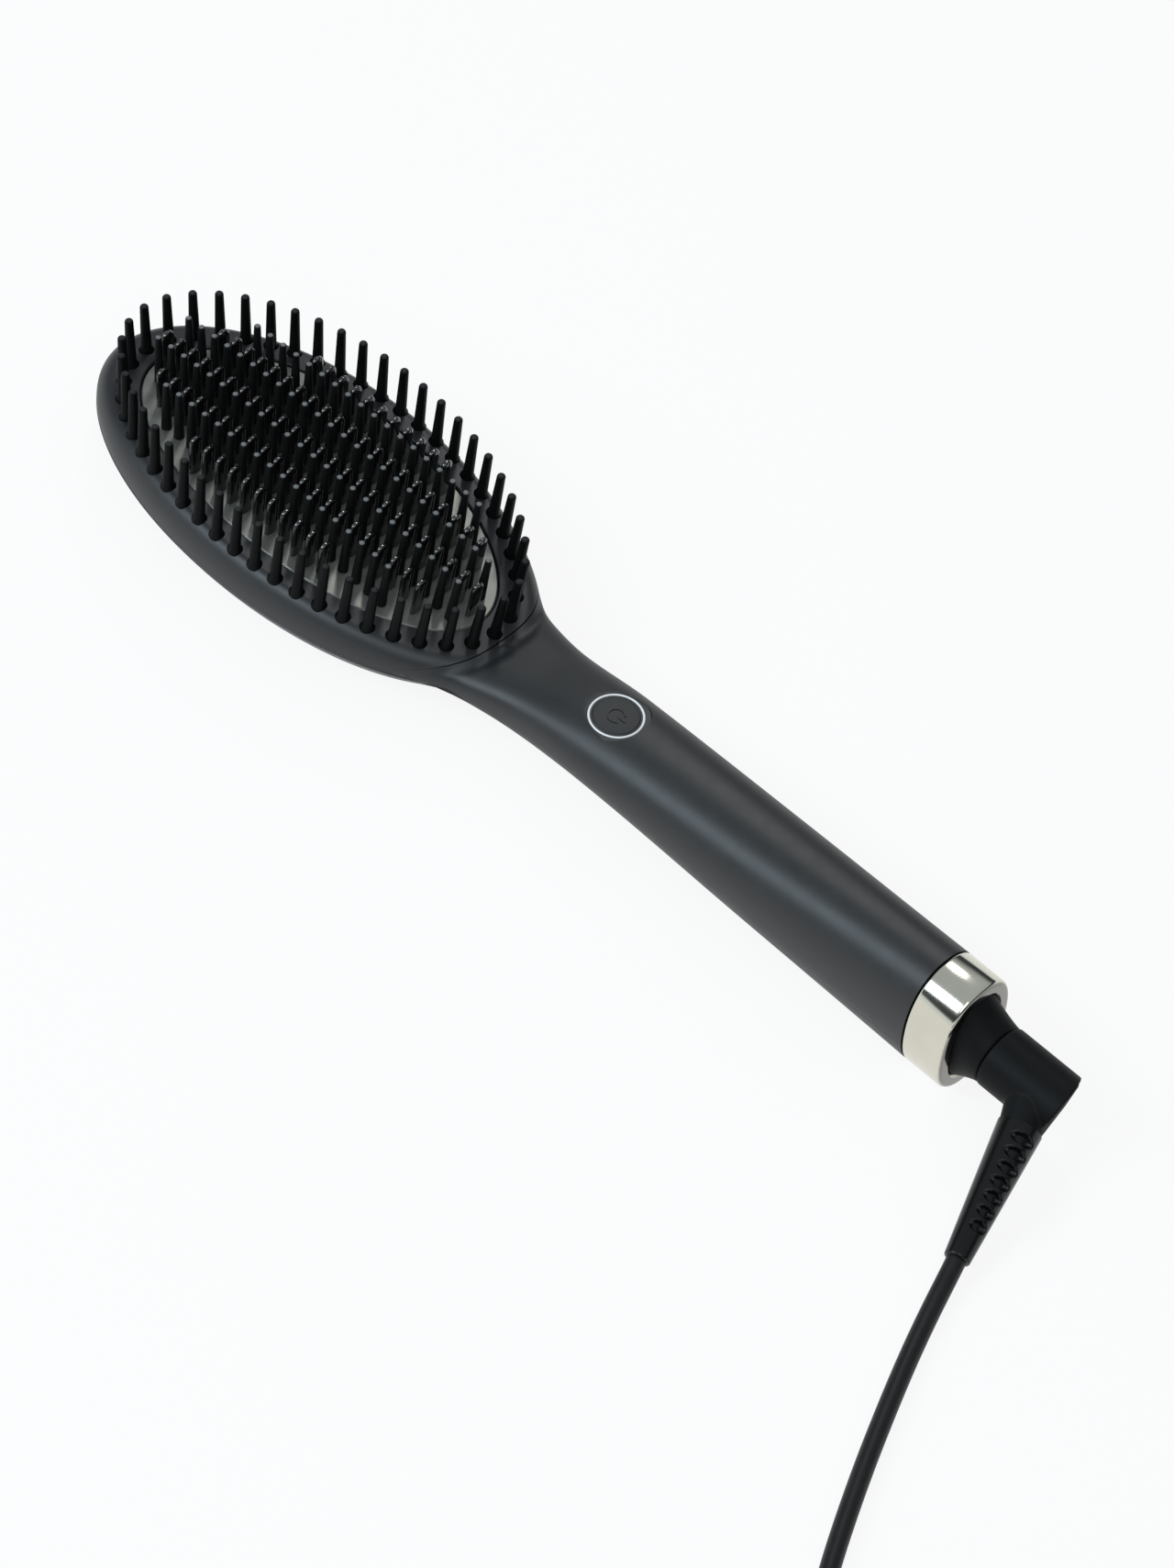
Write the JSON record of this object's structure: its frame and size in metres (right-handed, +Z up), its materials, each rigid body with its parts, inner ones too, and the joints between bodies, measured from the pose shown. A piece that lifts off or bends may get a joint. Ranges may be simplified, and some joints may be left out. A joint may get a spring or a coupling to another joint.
{
  "type": "heated styling brush",
  "caption": "Oval heated styling brush lying bristles up, with a heater plate, fins, nylon bristles, a handle with a power button, and a swivel cord.",
  "frame": {"origin": "on the surface the brush lies on, under the middle of the brush without its cord", "axes": "+X from the head's tip along the handle to the cord end, +Z up, the way the bristles point"},
  "size_m": [0.4669, 0.2247, 0.0389],
  "materials": {
    "shell_black": "fine matt moulded black with a soft sheen",
    "heater_grey": "satin grey coated metal",
    "fin_black": "glossy dark ceramic coat",
    "bristle_grey": "dull heat-proof nylon",
    "bristle_black": "dull heat-proof nylon with round tips",
    "button_black": "matt black",
    "lit_white": "translucent white light ring",
    "collar_nickel": "polished warm nickel",
    "swivel_black": "satin black",
    "spindle_plastic": "plain moulded",
    "relief_black": "soft glossy black",
    "cord_black": "smooth black sheath",
    "tie_black": "black strap",
    "plug_black": "plain moulded black",
    "pin_brass": "nickel-plated",
    "ceramic_white": "fired ceramic",
    "mica": "pressed mica",
    "spring_steel": "plain sheet",
    "sensor_black": "moulded component",
    "board_green": "coated board",
    "can_aluminium": "bare can"
  },
  "bodies": {
    "brush": {"front_bezel": "shell_black", "head_back_shell": "shell_black", "handle_cover": "shell_black", "handle_back_shell": "shell_black", "heater_plate": "heater_grey", "heating_fins_row_1": "fin_black", "heating_fins_row_3": "fin_black", "heating_fins_row_5": "fin_black", "heating_fins_row_7": "fin_black", "heating_fins_row_9": "fin_black", "inner_bristles_row_2": "bristle_grey", "inner_bristles_row_4": "bristle_grey", "inner_bristles_row_6": "bristle_grey", "inner_bristles_row_8": "bristle_grey", "outer_bristles": "bristle_black", "light_ring": "lit_white", "end_collar": "collar_nickel", "swivel_boss": "swivel_black", "cord_lead": "cord_black", "cord_coil": "cord_black", "cord_tail": "cord_black", "cord_tie": "tie_black", "plug_body": "plug_black", "plug_pin_1": "pin_brass", "plug_pin_2": "pin_brass", "ceramic_heater": "ceramic_white", "heater_insulator": "mica", "heater_clamp": "spring_steel", "thermal_fuse": "spring_steel", "temperature_sensor": "sensor_black", "tact_switch": "sensor_black", "buzzer": "sensor_black", "triac": "sensor_black", "control_board": "board_green", "supply_capacitor": "can_aluminium"},
    "button": {"power_button": "button_black"},
    "swivel": {"swivel_spindle": "spindle_plastic", "cord_elbow": "swivel_black", "strain_relief": "relief_black"}
  },
  "joints": [
    {"name": "button_press", "type": "slide", "parent": "brush", "child": "button", "axis": [0, 0, -1], "range_m": [0, 0.0005], "stiffness_N_per_m": 2000, "springref_m": -0.0002},
    {"name": "cord_swivel", "type": "hinge", "parent": "brush", "child": "swivel", "pos_m": [0.14994, 0, 0.0168], "axis": [1, 0, 0], "continuous": true}
  ]
}
